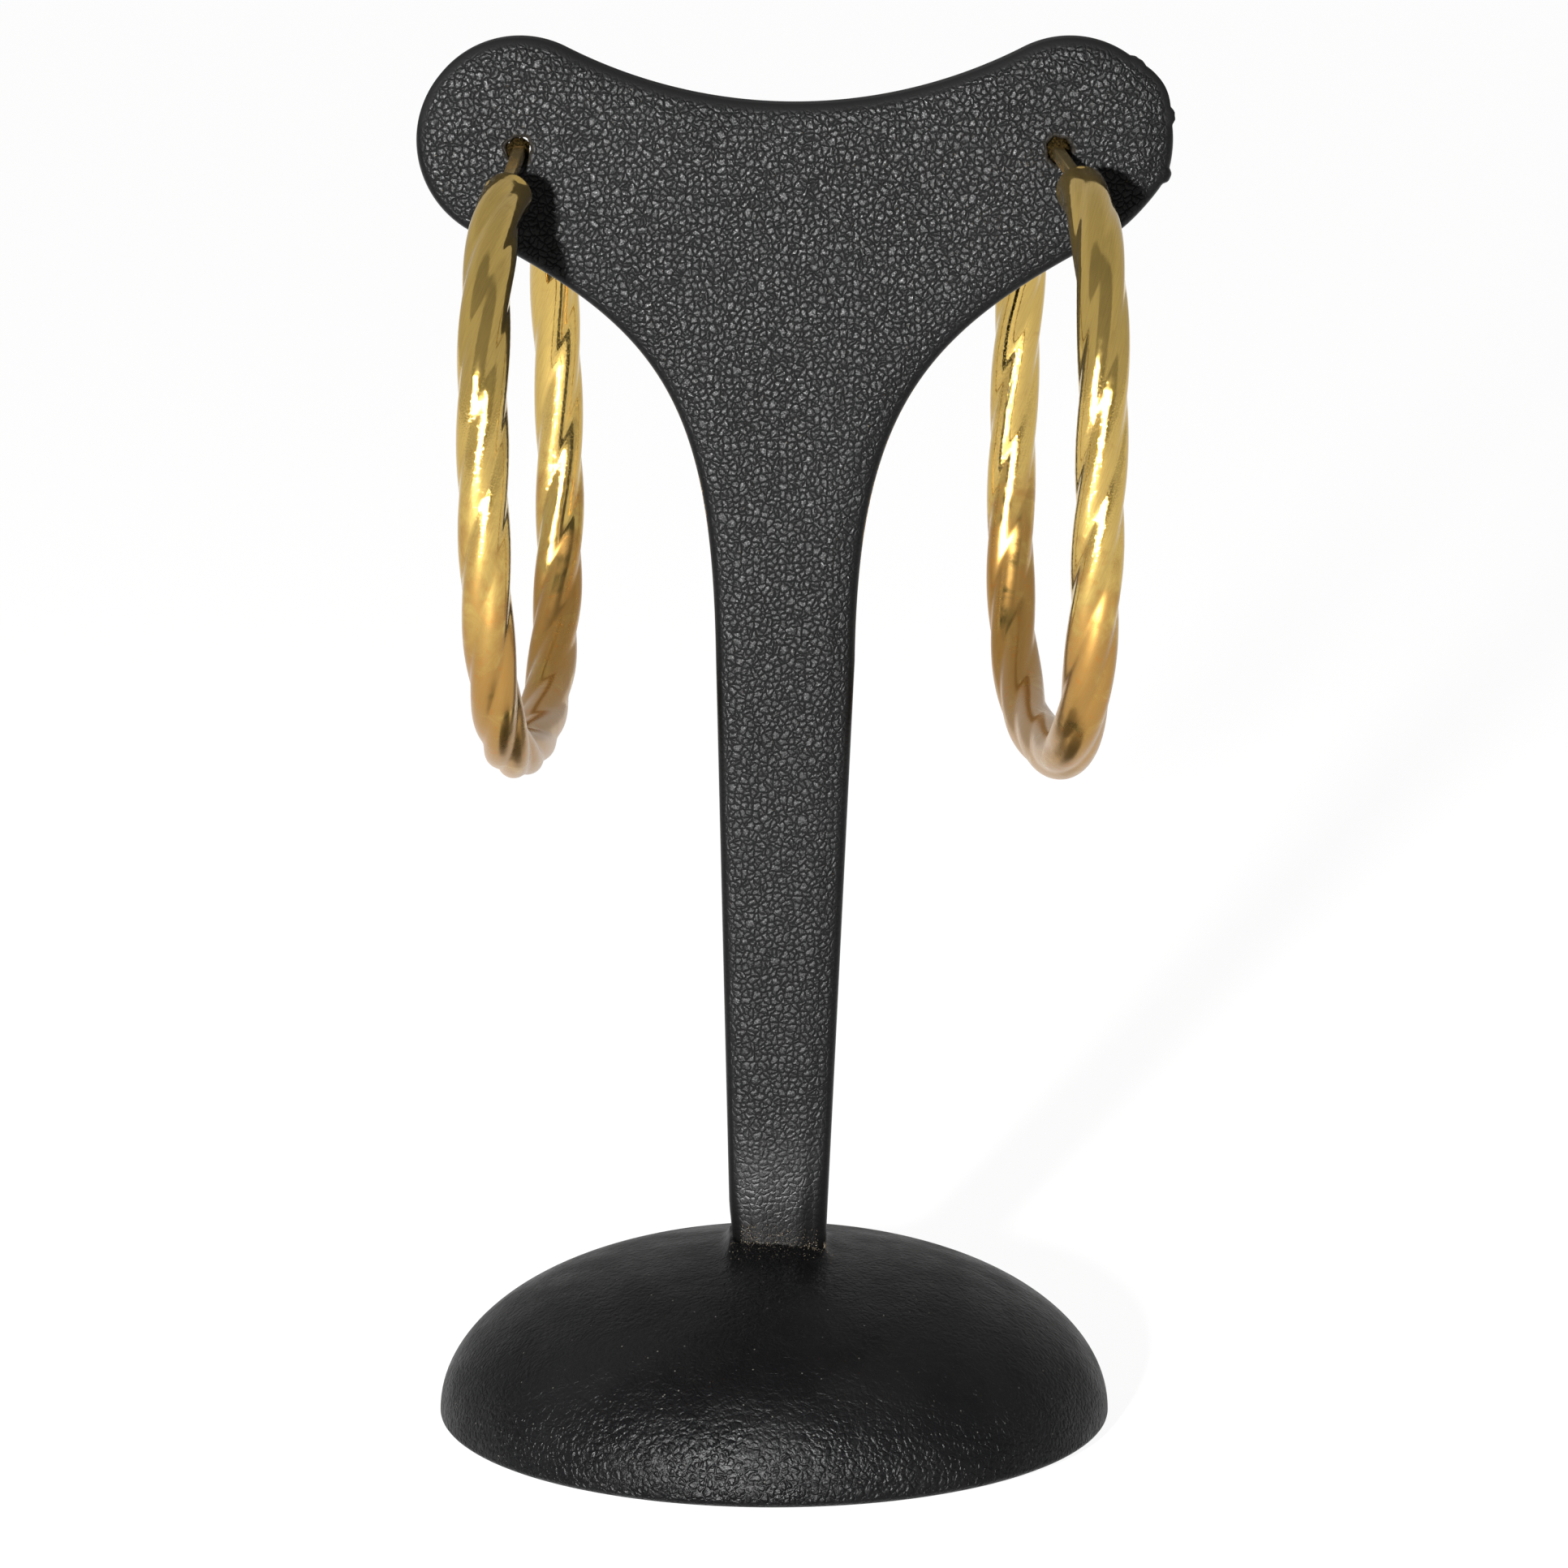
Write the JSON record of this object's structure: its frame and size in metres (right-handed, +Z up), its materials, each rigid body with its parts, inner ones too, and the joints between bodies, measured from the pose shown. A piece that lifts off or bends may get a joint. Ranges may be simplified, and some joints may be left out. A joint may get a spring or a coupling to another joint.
{
  "type": "pair of twisted hoop earrings on a display stand",
  "caption": "Twisted gold hoop earrings hanging by their ear wires from the holes of a black leather-covered T-shaped stand on a domed base.",
  "frame": {"origin": "centre of the flat underside of the domed base", "axes": "+Z up along the stand, +X to the right seen from the front, -Y toward the viewer in front of the stand"},
  "size_m": [0.061, 0.0556, 0.1145],
  "materials": {
    "base_leather": "matt black leather stretched smooth over the dome, with a fine stretched grain, dust specks and a soft gloss at the front edge",
    "board_leather": "black pebbled leather with shiny grain tops on the flat faces and smooth darker rolled edges",
    "hoop_gold": "polished yellow gold with fine pits, satin wear and reddish brown tarnish toward the bottom",
    "wire_gold": "satin yellow gold wire, duller than the tube, with brown tarnish at its root"
  },
  "bodies": {
    "root": {"stand_base": "base_leather", "stand_upright": "board_leather", "hoop_left": "hoop_gold", "ear_wire_left": "wire_gold", "hoop_right": "hoop_gold", "ear_wire_right": "wire_gold"}
  },
  "joints": []
}
